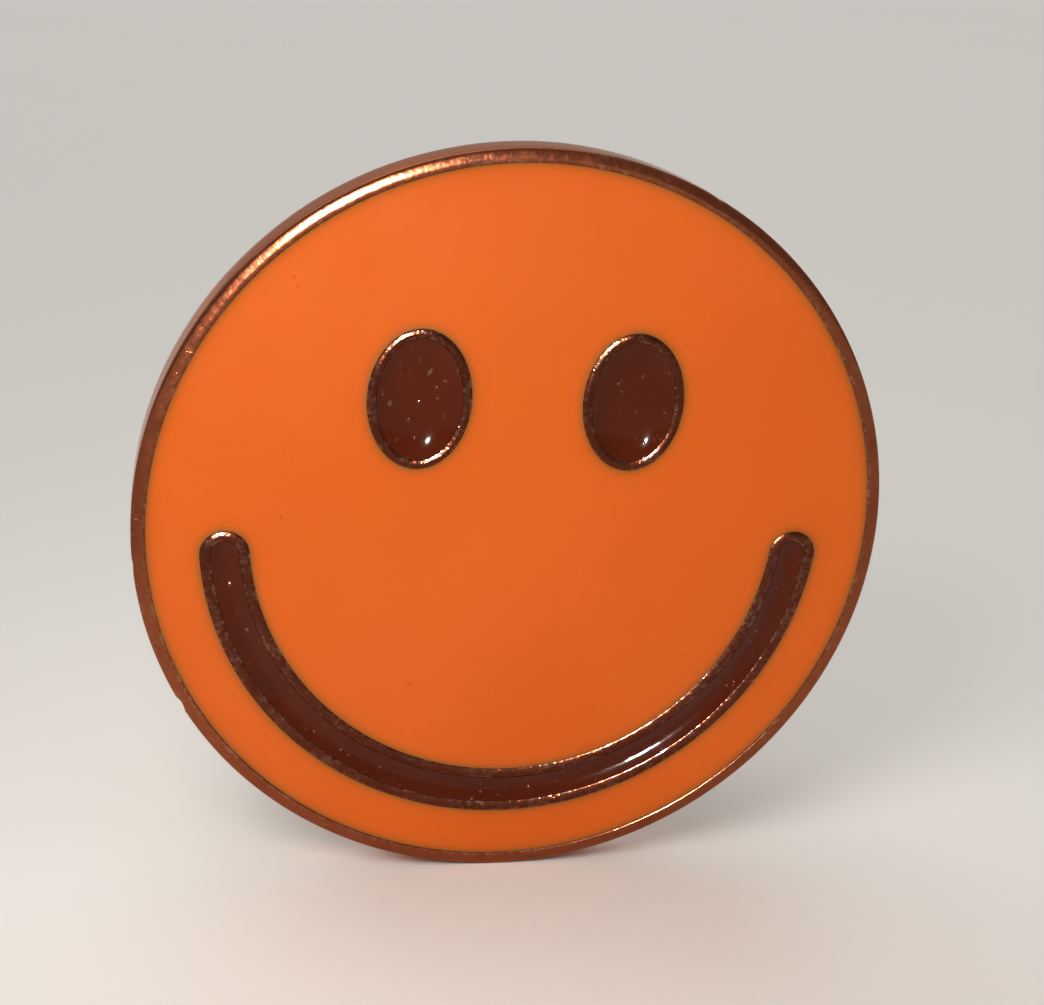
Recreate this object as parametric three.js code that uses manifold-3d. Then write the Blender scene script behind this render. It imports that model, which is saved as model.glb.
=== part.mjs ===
// A round enamelled lapel pin with a smiling face, as worn: upright, with two butterfly clutches behind it.
// Units are millimetres. +Z is up, the face looks towards -Y, and +X is on the right of someone looking
// at it. The origin is the middle of the badge plate's flat back.

import * as THREE from 'three';
import { mergeVertices } from 'three/addons/utils/BufferGeometryUtils.js';
import Module from 'manifold-3d';

const wasm = await Module();
wasm.setup();

// ---------------------------------------------------------------- driving dimensions

// Badge plate. Heights are measured forwards from its flat back.
const PLATE_RADIUS = 12.7;
const RIM_WIDTH = 0.465;
const RIM_HEIGHT = 1.5;
const RIM_ROUNDING = 0.2;
const WELL_FLOOR_HEIGHT = 0.95;
const ENAMEL_HEIGHT = 1.38;
const ENAMEL_GAP = 0.02;
const WELL_RADIUS = PLATE_RADIUS - RIM_WIDTH;
// The middle of the back, which is in the clear between the two clutches.
const CLEAR_BACK_RADIUS = 0.9;

// Face. x runs to the right and y up, from the middle of the plate. Sizes include the raised metal outline.
const EYE_X = 3.56;
const EYE_Y = 4.46;
const EYE_RADIUS_X = 1.71;
const EYE_RADIUS_Y = 2.35;
const EYE_OUTLINE = 0.3;
const MOUTH_RADIUS = 9.73;
const MOUTH_HALF_WIDTH = 0.81;
const MOUTH_HALF_ANGLE = THREE.MathUtils.degToRad(84.8);
const MOUTH_OUTLINE = 0.35;

// Posts. Heights are measured backwards from the plate's back.
const POST_X = 6.75;
const POST_RADIUS = 0.55;
const POST_LENGTH = 8;
const POINT_LENGTH = 1;
const POINT_MIDDLE_RADIUS = 0.3;
const POINT_MIDDLE_LENGTH = 0.35;
const FOOT_RADIUS = 1.6;
const FOOT_HEIGHT = 0.3;
const FOOT_FILLET = 0.13;
const GROOVE_HEIGHT = 6.35;
const GROOVE_DEPTH = 0.13;
const SOLDER_RADIUS = 2.3;
const SOLDER_MIDDLE_HEIGHT = 0.1;
const SOLDER_GAP = 0.02;

// Clutches. Heights are measured backwards from the clutch's own front face.
const CLUTCH_STANDOFF = 1.3;
const BASE_RADIUS = 5.75;
const BASE_SHEET = 0.35;
const BASE_EDGE_HEIGHT = 0.9;
const BASE_EDGE_WIDTH = 0.4;
const BORE_RADIUS = 0.65;
const FUNNEL_RADIUS = 1.3;
const FUNNEL_DEPTH = 0.275;
const COLLAR_RADIUS = 1.02;
const COLLAR_FLARE_RADIUS = 1.5;
const COLLAR_HEIGHT = 1.08;
const FLARE_UNDERSIDE = 0.82;
const FLARE_CHAMFER = 0.1;

// Spring strip, a bent sheet. Levels are the heights of the middle of the sheet.
const SHEET = 0.3;
const BRIDGE_LEVEL = 0.57;
const FORK_LEVEL = 1.65;
const TONGUE_LEVEL = 2.05;
const LOOP_X = 3.6;
const TONGUE_HALF_WIDTH = 1.3;
const TONGUE_BEYOND_POST = 0.8;
const TONGUE_WIDENING = 1.3;
const STRIP_HALF_WIDTH = 2.3;
const STRIP_NARROWING = 1.2;
const EAR_HALF_WIDTH = 2.4;
const EAR_BEND_X = 3.7;
const EAR_BEND_RADIUS = 1.5;
const EAR_ANGLE = THREE.MathUtils.degToRad(65);
const EAR_TOP = 5.6;
const EAR_CORNER_RADIUS = 1.5;
const COLLAR_HOLE_RADIUS = 1.14;
const POST_CLEARANCE = 0.05;
const TONGUE_HOLE_FAR_X = 0.85;
const WINDOW_HALF_WIDTH = 1.5;
const WINDOW_FAR_X = 4.75;
const WINDOW_CORNER = 0.4;
const LOOP_CUT = THREE.MathUtils.degToRad(12);
// How far the outlines that cut a strip reach past it.
const CUT_MARGIN = 0.5;

// Fineness of round shapes, in straight steps.
const RIM_STEPS = 96;
const SMALL_ROUND_STEPS = 32;
const BASE_STEPS = 48;
const POST_STEPS = 24;
const CAP_STEPS = 10;
const CORNER_STEPS = 4;
const BEND_STEPS = 7;
const ROLL_STEPS = 6;
const RIM_ROUNDING_STEPS = 3;

// ---------------------------------------------------------------- materials

const platedMetal = new THREE.MeshStandardMaterial({ color: 0x6e4a36, roughness: 0.25, metalness: 1 });
const orangeEnamel = new THREE.MeshStandardMaterial({ color: 0xe8691f, roughness: 0.15, metalness: 0 });
const brownEnamel = new THREE.MeshStandardMaterial({ color: 0x4a1a0c, roughness: 0.15, metalness: 0 });
const postSteel = new THREE.MeshStandardMaterial({ color: 0xb9b4ac, roughness: 0.3, metalness: 1 });
const solderMetal = new THREE.MeshStandardMaterial({ color: 0x9c9a97, roughness: 0.45, metalness: 1 });
const clutchBrass = new THREE.MeshStandardMaterial({ color: 0xc9a45c, roughness: 0.3, metalness: 1 });

// ---------------------------------------------------------------- solids

function toSolid(geometry) {
  const bare = geometry.clone();
  bare.deleteAttribute('normal');
  bare.deleteAttribute('uv');
  const merged = mergeVertices(bare, 1e-4);
  return new wasm.Manifold(new wasm.Mesh({
    numProp: 3,
    vertProperties: new Float32Array(merged.attributes.position.array),
    triVerts: new Uint32Array(merged.index.array),
  }));
}

function toGeometry(solid) {
  const mesh = solid.getMesh();
  const geometry = new THREE.BufferGeometry();
  geometry.setAttribute('position', new THREE.BufferAttribute(mesh.vertProperties, 3));
  geometry.setIndex(new THREE.BufferAttribute(mesh.triVerts, 1));
  geometry.computeVertexNormals();
  return geometry;
}

function extrude(outline, depth, holes = []) {
  const shape = new THREE.Shape(outline);
  for (const hole of holes) {
    shape.holes.push(new THREE.Path(hole));
  }
  return new THREE.ExtrudeGeometry(shape, { depth, bevelEnabled: false, steps: 1 });
}

// Turns a profile of [radius, height] points round the Z axis.
function turn(profile, steps) {
  const points = profile.map(([radius, height]) => new THREE.Vector2(radius, height));
  return new THREE.LatheGeometry(points, steps).rotateX(Math.PI / 2);
}

// ---------------------------------------------------------------- outlines

// Points of a round stretch from one angle to another, ends included.
function arc(centreX, centreY, radius, from, to, steps) {
  const points = [];
  for (let step = 0; step <= steps; step += 1) {
    const angle = from + (to - from) * step / steps;
    points.push(new THREE.Vector2(centreX + radius * Math.cos(angle), centreY + radius * Math.sin(angle)));
  }
  return points;
}

function ellipse(centreX, centreY, radiusX, radiusY, steps) {
  return arc(0, 0, 1, 0, 2 * Math.PI, steps).slice(0, -1)
    .map((point) => new THREE.Vector2(centreX + radiusX * point.x, centreY + radiusY * point.y));
}

// The eye's outline, moved inwards by inset, or outwards if inset is negative. side is -1 or 1.
function eyeOutline(side, inset) {
  return ellipse(side * EYE_X, EYE_Y, EYE_RADIUS_X - inset, EYE_RADIUS_Y - inset, SMALL_ROUND_STEPS);
}

// The mouth is a stretch of ring with round ends, moved inwards by inset in the same way.
function mouthOutline(inset) {
  const half = MOUTH_HALF_WIDTH - inset;
  const right = -Math.PI / 2 + MOUTH_HALF_ANGLE;
  const left = -Math.PI / 2 - MOUTH_HALF_ANGLE;
  const endX = MOUTH_RADIUS * Math.cos(right);
  const endY = MOUTH_RADIUS * Math.sin(right);
  return [
    ...arc(0, 0, MOUTH_RADIUS + half, left, right, SMALL_ROUND_STEPS),
    ...arc(endX, endY, half, right, right + Math.PI, CAP_STEPS).slice(1, -1),
    ...arc(0, 0, MOUTH_RADIUS - half, right, left, SMALL_ROUND_STEPS),
    ...arc(-endX, endY, half, left + Math.PI, left + 2 * Math.PI, CAP_STEPS).slice(1, -1),
  ];
}

// The side view of a bent sheet: a line along the middle of the sheet, thickened by half a sheet each way.
// Each stretch is { run: length } or { bend: angle, radius }, and a positive bend turns left.
function sheetOutline(startX, startY, startAngle, stretches) {
  let x = startX;
  let y = startY;
  let angle = startAngle;
  const left = [];
  const right = [];
  const mark = () => {
    const acrossX = -Math.sin(angle) * SHEET / 2;
    const acrossY = Math.cos(angle) * SHEET / 2;
    left.push(new THREE.Vector2(x + acrossX, y + acrossY));
    right.unshift(new THREE.Vector2(x - acrossX, y - acrossY));
  };
  mark();
  for (const stretch of stretches) {
    if (stretch.run) {
      x += stretch.run * Math.cos(angle);
      y += stretch.run * Math.sin(angle);
      mark();
      continue;
    }
    const sense = Math.sign(stretch.bend);
    const centreX = x - sense * stretch.radius * Math.sin(angle);
    const centreY = y + sense * stretch.radius * Math.cos(angle);
    const firstAngle = angle;
    for (let step = 1; step <= BEND_STEPS; step += 1) {
      angle = firstAngle + stretch.bend * step / BEND_STEPS;
      x = centreX + sense * stretch.radius * Math.sin(angle);
      y = centreY - sense * stretch.radius * Math.cos(angle);
      mark();
    }
  }
  return [...right, ...left];
}

// ---------------------------------------------------------------- badge plate and enamel

function badgePlate() {
  const centre = PLATE_RADIUS - RIM_ROUNDING;
  const rounding = arc(centre, RIM_HEIGHT - RIM_ROUNDING, RIM_ROUNDING, 0, Math.PI / 2, RIM_ROUNDING_STEPS);
  const body = toSolid(turn([
    [0, 0],
    [CLEAR_BACK_RADIUS, 0],
    [PLATE_RADIUS - RIM_ROUNDING / 2, 0],
    [PLATE_RADIUS, RIM_ROUNDING / 2],
    ...rounding.map((point) => [point.x, point.y]),
    [WELL_RADIUS, RIM_HEIGHT],
    [WELL_RADIUS, WELL_FLOOR_HEIGHT],
    [0, WELL_FLOOR_HEIGHT],
  ], RIM_STEPS));
  const rooted = RIM_HEIGHT - WELL_FLOOR_HEIGHT / 2;
  const outlines = [
    extrude(mouthOutline(0), rooted, [mouthOutline(MOUTH_OUTLINE)]),
    extrude(eyeOutline(-1, 0), rooted, [eyeOutline(-1, EYE_OUTLINE)]),
    extrude(eyeOutline(1, 0), rooted, [eyeOutline(1, EYE_OUTLINE)]),
  ];
  return toGeometry(outlines.reduce(
    (plate, outline) => plate.add(toSolid(outline.translate(0, 0, WELL_FLOOR_HEIGHT / 2))),
    body,
  ));
}

function enamelFill(outline, holes = []) {
  const depth = ENAMEL_HEIGHT - WELL_FLOOR_HEIGHT - ENAMEL_GAP;
  return extrude(outline, depth, holes).translate(0, 0, WELL_FLOOR_HEIGHT + ENAMEL_GAP);
}

function faceEnamel() {
  const edge = ellipse(0, 0, WELL_RADIUS - ENAMEL_GAP, WELL_RADIUS - ENAMEL_GAP, RIM_STEPS);
  const eyes = [eyeOutline(-1, -ENAMEL_GAP), eyeOutline(1, -ENAMEL_GAP)];
  return enamelFill(edge, [...eyes, mouthOutline(-ENAMEL_GAP)]);
}

function eyeEnamel(side) {
  return enamelFill(eyeOutline(side, EYE_OUTLINE + ENAMEL_GAP));
}

function mouthEnamel() {
  return enamelFill(mouthOutline(MOUTH_OUTLINE + ENAMEL_GAP));
}

// ---------------------------------------------------------------- posts

function post() {
  const neck = POST_RADIUS - GROOVE_DEPTH;
  return turn([
    [0, SOLDER_GAP],
    [FOOT_RADIUS, SOLDER_GAP],
    [FOOT_RADIUS, FOOT_HEIGHT],
    [POST_RADIUS + FOOT_FILLET, FOOT_HEIGHT],
    [POST_RADIUS, FOOT_HEIGHT + FOOT_FILLET],
    [POST_RADIUS, GROOVE_HEIGHT - 2 * GROOVE_DEPTH],
    [neck, GROOVE_HEIGHT - GROOVE_DEPTH],
    [neck, GROOVE_HEIGHT + GROOVE_DEPTH],
    [POST_RADIUS, GROOVE_HEIGHT + 2 * GROOVE_DEPTH],
    [POST_RADIUS, POST_LENGTH - POINT_LENGTH],
    [POINT_MIDDLE_RADIUS, POST_LENGTH - POINT_MIDDLE_LENGTH],
    [0, POST_LENGTH],
  ], POST_STEPS);
}

function postSolder() {
  const inside = FOOT_RADIUS + SOLDER_GAP;
  return turn([
    [inside, SOLDER_GAP],
    [SOLDER_RADIUS, SOLDER_GAP],
    [SOLDER_RADIUS, 2 * SOLDER_GAP],
    [(SOLDER_RADIUS + inside) / 2, SOLDER_MIDDLE_HEIGHT],
    [inside, FOOT_HEIGHT],
    [inside, SOLDER_GAP],
  ], POST_STEPS);
}

// ---------------------------------------------------------------- clutches

function clutchBase() {
  const edgeMiddle = BASE_RADIUS - BASE_EDGE_WIDTH / 2;
  const roll = BASE_EDGE_WIDTH / 2;
  const top = arc(edgeMiddle, BASE_EDGE_HEIGHT - roll, roll, 0, Math.PI, ROLL_STEPS);
  return turn([
    [FUNNEL_RADIUS, 0],
    [BASE_RADIUS - roll, 0],
    [BASE_RADIUS, roll],
    ...top.map((point) => [point.x, point.y]),
    [BASE_RADIUS - BASE_EDGE_WIDTH, BASE_SHEET],
    [COLLAR_RADIUS, BASE_SHEET],
    [COLLAR_RADIUS, FLARE_UNDERSIDE],
    [COLLAR_FLARE_RADIUS, FLARE_UNDERSIDE],
    [COLLAR_FLARE_RADIUS, COLLAR_HEIGHT - FLARE_CHAMFER],
    [COLLAR_FLARE_RADIUS - FLARE_CHAMFER, COLLAR_HEIGHT],
    [BORE_RADIUS, COLLAR_HEIGHT],
    [BORE_RADIUS, FUNNEL_DEPTH],
    [FUNNEL_RADIUS, 0],
  ], BASE_STEPS);
}

// A strip with this side view (x, z) as wide as the whole ear.
function bentStrip(outline) {
  const side = extrude(outline, 2 * EAR_HALF_WIDTH);
  return toSolid(side.rotateX(Math.PI / 2).translate(0, EAR_HALF_WIDTH, 0));
}

// Cuts a strip to its outline as seen from above (x, y).
function cutPlan(strip, outline, holes = []) {
  const plan = extrude(outline, EAR_TOP + 2 * CUT_MARGIN, holes);
  return strip.intersect(toSolid(plan.translate(0, 0, -CUT_MARGIN)));
}

// Rounds the top corners of an ear, as seen along the strip (y, z).
function roundEar(strip, halfWidth) {
  const corner = EAR_CORNER_RADIUS;
  const outline = [
    new THREE.Vector2(-halfWidth, -CUT_MARGIN),
    new THREE.Vector2(halfWidth, -CUT_MARGIN),
    ...arc(halfWidth - corner, EAR_TOP - corner, corner, 0, Math.PI / 2, CAP_STEPS),
    ...arc(corner - halfWidth, EAR_TOP - corner, corner, Math.PI / 2, Math.PI, CAP_STEPS),
  ];
  const front = extrude(outline, 4 * LOOP_X).rotateX(Math.PI / 2).rotateZ(Math.PI / 2);
  return strip.intersect(toSolid(front.translate(-2 * LOOP_X, 0, 0)));
}

function points(...pairs) {
  return pairs.map(([x, y]) => new THREE.Vector2(x, y));
}

// The side view of one leaf, drawn for a loop on the left and an ear on the right.
function leafOutline(level) {
  const radius = (level - BRIDGE_LEVEL) / 2;
  const cut = Math.PI / 2 - LOOP_CUT;
  const bendRise = EAR_BEND_RADIUS * (1 - Math.cos(EAR_ANGLE));
  const earRun = (EAR_TOP + SHEET - level - bendRise) / Math.sin(EAR_ANGLE);
  return sheetOutline(
    -LOOP_X - radius * Math.sin(cut),
    BRIDGE_LEVEL + radius + radius * Math.cos(cut),
    cut,
    [
      { bend: -cut, radius },
      { run: LOOP_X + EAR_BEND_X },
      { bend: EAR_ANGLE, radius: EAR_BEND_RADIUS },
      { run: earRun },
    ],
  );
}

function clutchBridge() {
  const tongueLoop = (TONGUE_LEVEL - BRIDGE_LEVEL) / 2;
  const forkLoop = (FORK_LEVEL - BRIDGE_LEVEL) / 2;
  const quarter = Math.PI / 2;
  const strip = bentStrip(sheetOutline(
    -LOOP_X - tongueLoop,
    BRIDGE_LEVEL + tongueLoop,
    -quarter,
    [{ bend: quarter, radius: tongueLoop }, { run: 2 * LOOP_X }, { bend: quarter, radius: forkLoop }],
  ));
  const waist = LOOP_X - STRIP_NARROWING;
  const plan = points(
    [-2 * LOOP_X, -TONGUE_HALF_WIDTH], [-LOOP_X, -TONGUE_HALF_WIDTH], [-waist, -STRIP_HALF_WIDTH],
    [2 * LOOP_X, -STRIP_HALF_WIDTH], [2 * LOOP_X, STRIP_HALF_WIDTH],
    [-waist, STRIP_HALF_WIDTH], [-LOOP_X, TONGUE_HALF_WIDTH], [-2 * LOOP_X, TONGUE_HALF_WIDTH],
  );
  const collarHole = ellipse(0, 0, COLLAR_HOLE_RADIUS, COLLAR_HOLE_RADIUS, SMALL_ROUND_STEPS);
  return toGeometry(cutPlan(strip, plan, [collarHole]));
}

function tongueWing() {
  const strip = bentStrip(leafOutline(TONGUE_LEVEL));
  const widensFrom = POST_RADIUS + TONGUE_BEYOND_POST;
  const widensTo = widensFrom + TONGUE_WIDENING;
  const far = 2 * LOOP_X;
  const plan = points(
    [-far, -TONGUE_HALF_WIDTH], [widensFrom, -TONGUE_HALF_WIDTH], [widensTo, -EAR_HALF_WIDTH],
    [far, -EAR_HALF_WIDTH], [far, EAR_HALF_WIDTH],
    [widensTo, EAR_HALF_WIDTH], [widensFrom, TONGUE_HALF_WIDTH], [-far, TONGUE_HALF_WIDTH],
  );
  const near = -POST_RADIUS - POST_CLEARANCE;
  const holeMiddle = (near + TONGUE_HOLE_FAR_X) / 2;
  const holeHalfLength = (TONGUE_HOLE_FAR_X - near) / 2;
  const hole = ellipse(holeMiddle, 0, holeHalfLength, POST_RADIUS + 2 * POST_CLEARANCE, SMALL_ROUND_STEPS);
  return toGeometry(roundEar(cutPlan(strip, plan, [hole]), EAR_HALF_WIDTH));
}

// The opening between the fork's two rails, with round corners.
function forkWindow() {
  const low = WINDOW_CORNER - POST_RADIUS - POST_CLEARANCE;
  const high = WINDOW_FAR_X - WINDOW_CORNER;
  const side = WINDOW_HALF_WIDTH - WINDOW_CORNER;
  const quarter = Math.PI / 2;
  return [
    ...arc(low, -side, WINDOW_CORNER, 2 * quarter, 3 * quarter, CORNER_STEPS),
    ...arc(high, -side, WINDOW_CORNER, 3 * quarter, 4 * quarter, CORNER_STEPS),
    ...arc(high, side, WINDOW_CORNER, 0, quarter, CORNER_STEPS),
    ...arc(low, side, WINDOW_CORNER, quarter, 2 * quarter, CORNER_STEPS),
  ];
}

// The fork is drawn like the tongue and then turned round, so that the two leaves cross.
function forkWing() {
  const strip = bentStrip(leafOutline(FORK_LEVEL));
  const far = 2 * LOOP_X;
  const plan = points(
    [-far, -STRIP_HALF_WIDTH], [far, -STRIP_HALF_WIDTH], [far, STRIP_HALF_WIDTH], [-far, STRIP_HALF_WIDTH],
  );
  const wing = toGeometry(roundEar(cutPlan(strip, plan, [forkWindow()]), STRIP_HALF_WIDTH));
  return wing.rotateZ(Math.PI);
}

// ---------------------------------------------------------------- assembly

function addPiece(group, name, geometry, material) {
  const mesh = new THREE.Mesh(geometry, material);
  mesh.name = name;
  group.add(mesh);
}

function makeFront() {
  const front = new THREE.Group();
  addPiece(front, 'badge_plate', badgePlate(), platedMetal.clone());
  addPiece(front, 'face_enamel', faceEnamel(), orangeEnamel.clone());
  addPiece(front, 'left_eye_enamel', eyeEnamel(-1), brownEnamel.clone());
  addPiece(front, 'right_eye_enamel', eyeEnamel(1), brownEnamel.clone());
  addPiece(front, 'mouth_enamel', mouthEnamel(), brownEnamel.clone());
  // The front is drawn flat, facing +Z, and stands up to face -Y.
  front.rotation.x = Math.PI / 2;
  return front;
}

function makeFastening(side, sideName) {
  const fastening = new THREE.Group();
  addPiece(fastening, `${sideName}_post`, post(), postSteel.clone());
  addPiece(fastening, `${sideName}_post_solder`, postSolder(), solderMetal.clone());
  const clutch = new THREE.Group();
  addPiece(clutch, `${sideName}_clutch_base`, clutchBase(), clutchBrass.clone());
  addPiece(clutch, `${sideName}_clutch_bridge`, clutchBridge(), clutchBrass.clone());
  addPiece(clutch, `${sideName}_clutch_tongue_wing`, tongueWing(), clutchBrass.clone());
  addPiece(clutch, `${sideName}_clutch_fork_wing`, forkWing(), clutchBrass.clone());
  clutch.position.z = CLUTCH_STANDOFF;
  // Both ears of a clutch stand one above the other.
  clutch.rotation.z = Math.PI / 2;
  fastening.add(clutch);
  // Fastenings are drawn pointing up, along +Z, and turn to point backwards, along +Y.
  fastening.rotation.x = -Math.PI / 2;
  fastening.position.x = side * POST_X;
  return fastening;
}

const badge = new THREE.Group();
badge.add(makeFront());
badge.add(makeFastening(-1, 'left'));
badge.add(makeFastening(1, 'right'));

export default badge;
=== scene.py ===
import math

import bmesh
import bpy
from mathutils import Matrix, Vector, noise
from mathutils.geometry import delaunay_2d_cdt


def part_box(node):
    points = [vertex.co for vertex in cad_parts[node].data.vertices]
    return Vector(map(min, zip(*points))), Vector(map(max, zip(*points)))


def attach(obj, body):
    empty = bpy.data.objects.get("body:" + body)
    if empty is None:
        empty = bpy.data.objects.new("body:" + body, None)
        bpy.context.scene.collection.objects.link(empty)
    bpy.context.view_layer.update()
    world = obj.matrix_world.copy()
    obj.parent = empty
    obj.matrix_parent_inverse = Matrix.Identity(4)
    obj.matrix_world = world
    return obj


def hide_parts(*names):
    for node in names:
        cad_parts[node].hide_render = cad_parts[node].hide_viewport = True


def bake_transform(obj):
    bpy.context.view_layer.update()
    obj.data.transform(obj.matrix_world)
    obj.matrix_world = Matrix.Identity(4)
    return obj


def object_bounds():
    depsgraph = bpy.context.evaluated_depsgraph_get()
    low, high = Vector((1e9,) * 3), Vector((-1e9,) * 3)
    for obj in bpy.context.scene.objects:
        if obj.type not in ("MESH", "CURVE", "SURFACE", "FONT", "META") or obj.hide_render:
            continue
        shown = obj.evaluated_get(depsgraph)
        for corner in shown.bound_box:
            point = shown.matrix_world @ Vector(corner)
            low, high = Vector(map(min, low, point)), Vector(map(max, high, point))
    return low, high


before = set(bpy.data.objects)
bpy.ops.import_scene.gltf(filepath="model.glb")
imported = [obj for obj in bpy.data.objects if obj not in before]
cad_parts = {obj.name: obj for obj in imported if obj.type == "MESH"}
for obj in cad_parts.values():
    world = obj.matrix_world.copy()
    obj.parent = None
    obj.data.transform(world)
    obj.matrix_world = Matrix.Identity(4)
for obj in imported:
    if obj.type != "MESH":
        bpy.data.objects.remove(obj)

# A round enamelled lapel pin with a smiling face. Sizes are in millimetres, and MM turns them into metres.
# The front is drawn flat as (x, y, height above the plate's back), and what is behind it the same way, with
# heights behind that back. Each drawing has a function that stands it up in place.
MM = 0.001
cad_low, cad_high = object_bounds()


def box_mm(node):
    low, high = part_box(node)
    return low / MM, high / MM


# ------ sizes

PLATE_LOW, PLATE_HIGH = box_mm("badge_plate")
PLATE_RADIUS = (PLATE_HIGH.x - PLATE_LOW.x) / 2
RIM_HEIGHT = -PLATE_LOW.y
RIM_WIDTH = 0.465
WELL_RADIUS = PLATE_RADIUS - RIM_WIDTH
FLOOR_HEIGHT = 0.95

# The plate's back edge and its rim. The tilts are the rim's slope at its two sides, in degrees.
BACK_EDGE = 0.5
BACK_ROUNDING = 0.1
RIM_CORNER = 0.1
RIM_INNER_ROUNDING = 0.05
RIM_INNER_TILT = 6.5
RIM_OUTER_TILT = 12.5

# The raised lines have a roof: a round ridge, slopes that steepen towards the walls, and rounded corners.
LINE_RIDGE = 0.015
LINE_RIDGE_TILT = 9.5
LINE_WALL_TILT = 13.5
LINE_CORNER = 0.025

EYE_LOW, EYE_HIGH = box_mm("right_eye_enamel")
EYE_X = (EYE_LOW.x + EYE_HIGH.x) / 2
EYE_Y = (EYE_LOW.z + EYE_HIGH.z) / 2
EYE_OUTLINE = 0.3
FIT_GAP = 0.02
EYE_RADIUS_X = (EYE_HIGH.x - EYE_LOW.x) / 2 + EYE_OUTLINE + FIT_GAP
EYE_RADIUS_Y = (EYE_HIGH.z - EYE_LOW.z) / 2 + EYE_OUTLINE + FIT_GAP

MOUTH_RADIUS = 9.73
MOUTH_HALF_WIDTH = 0.81
MOUTH_OUTLINE = 0.35
MOUTH_HALF_ANGLE = math.radians(84.8)

# The orange lies FACE_DROP below the rim, give or take FACE_SWELL, and climbs to WALL_DROP beside metal.
# The eyes and mouth lie BOWL_WALL_DROP below the rim beside metal, and sink by their hollow in the middle.
WALL_DROP = 0.03
FACE_DROP = 0.045
FACE_CLIMB = 0.2
FACE_SWELL = 0.012
BOWL_WALL_DROP = 0.018
EYE_HOLLOW = 0.27
MOUTH_HOLLOW = 0.165
ENAMEL_GAP = 0.004

# Nicks in the rim's outer edge, as (degrees round from the right, width, depth).
RIM_NICKS = ((209.5, 0.14, 0.1), (186, 0.1, 0.06), (63, 0.12, 0.04))

CLUTCH_LOW, CLUTCH_HIGH = box_mm("right_clutch_base")
POST_LOW, POST_HIGH = box_mm("right_post")
POST_X = (POST_LOW.x + POST_HIGH.x) / 2
POST_LENGTH = POST_HIGH.y
POST_RADIUS = 0.55
FOOT_RADIUS = (POST_HIGH.x - POST_LOW.x) / 2
FOOT_HEIGHT = 0.3
FOOT_FILLET = 0.14
GROOVE_HEIGHT = 6.35
GROOVE_LENGTH = 0.6
GROOVE_DEPTH = 0.13
POINT_LENGTH = 1.0
TIP_RADIUS = 0.03
SOLDER_RADIUS = 2.25
SOLDER_RUN = 0.22

CLUTCH_STANDOFF = CLUTCH_LOW.y
BASE_RADIUS = (CLUTCH_HIGH.x - CLUTCH_LOW.x) / 2
COLLAR_HEIGHT = CLUTCH_HIGH.y - CLUTCH_LOW.y
BASE_SHEET = 0.35
EDGE_ROLL = 0.2
EDGE_HEIGHT = 0.9
BORE_RADIUS = 0.65
FUNNEL_RADIUS = 1.3
COLLAR_RADIUS = 1.02
FLARE_RADIUS = 1.5
FLARE_UNDERSIDE = 0.82
BEAD_RADIUS = 3.6
BEAD_HALF_WIDTH = 0.35
BEAD_HEIGHT = 0.12

# The spring is drawn as two halves of a strip of sheet. Each has a loop, a wing, and an ear with a rib.
SHEET = 0.3
SHEET_ROUNDING = 0.07
BRIDGE_LEVEL = 0.57
TONGUE_LEVEL = 2.05
FORK_LEVEL = 1.65
LOOP_X = 3.6
TONGUE_HALF_WIDTH = 1.3
STRIP_HALF_WIDTH = 2.3
EAR_HALF_WIDTH = 2.4
EAR_BEND_X = 3.7
EAR_BEND_RADIUS = 1.5
EAR_ANGLE = math.radians(65)
EAR_TOP = 5.6
EAR_CORNER = 1.5
COLLAR_HOLE = 1.14
WAIST_LENGTH = 1.2
FLARE_START = 0.8
FLARE_LENGTH = 1.3
TONGUE_HOLE_SHIFT = 0.125
TONGUE_HOLE_HALF_LENGTH = 0.725
TONGUE_HOLE_PLAY = 0.1
WINDOW_NEAR = 0.6
WINDOW_FAR = 4.86
WINDOW_HALF_WIDTH = 1.5
WINDOW_CORNER = 0.4
RIB_HALF_LENGTH = 1.25
RIB_HALF_WIDTH = 0.55
RIB_HEIGHT = 0.14

# Steps round the plate, round an eye, along a side of the mouth and round one of its ends.
AROUND = 384
EYE_STEPS = 128
MOUTH_STEPS = 160
MOUTH_END_STEPS = 28

# Grid points keep EDGE_SPACE of their spacing clear of an edge. Points nearer than MERGE_DISTANCE are one.
EDGE_SPACE = 0.6
MERGE_DISTANCE = 1e-7
SHEET_SPACING = 0.17
SHEET_EDGE_STEP = 0.13
SHARP_ANGLE = math.radians(40)


# ------ camera

def add_object(name, data):
    """Makes an object of this data and puts it in the scene."""
    thing = bpy.data.objects.new(name, data)
    bpy.context.scene.collection.objects.link(thing)
    return thing


def add_camera():
    """The viewing angle: how far the face is tipped, turned and rolled, and how far off it is."""
    tip, turn, roll = math.radians(19.22), math.radians(12.11), math.radians(-4.28)
    across, up, distance = -0.111, -0.916, 62.48
    seen = Matrix.Rotation(roll, 4, "Z") @ Matrix.Rotation(tip, 4, "X") @ Matrix.Rotation(turn, 4, "Y")
    seen = Matrix.Translation(Vector((across, up, -distance)) * MM) @ seen
    face = Matrix.Translation((0, -RIM_HEIGHT * MM, 0)) @ Matrix.Rotation(math.pi / 2, 4, "X")
    data = bpy.data.cameras.new("camera")
    data.lens = 64.54
    data.sensor_width = 36
    data.clip_start = 0.001
    data.clip_end = 20
    camera = add_object("camera", data)
    camera.matrix_world = face @ seen.inverted()
    bpy.context.scene.camera = camera


add_camera()


# ------ meshes

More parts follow.
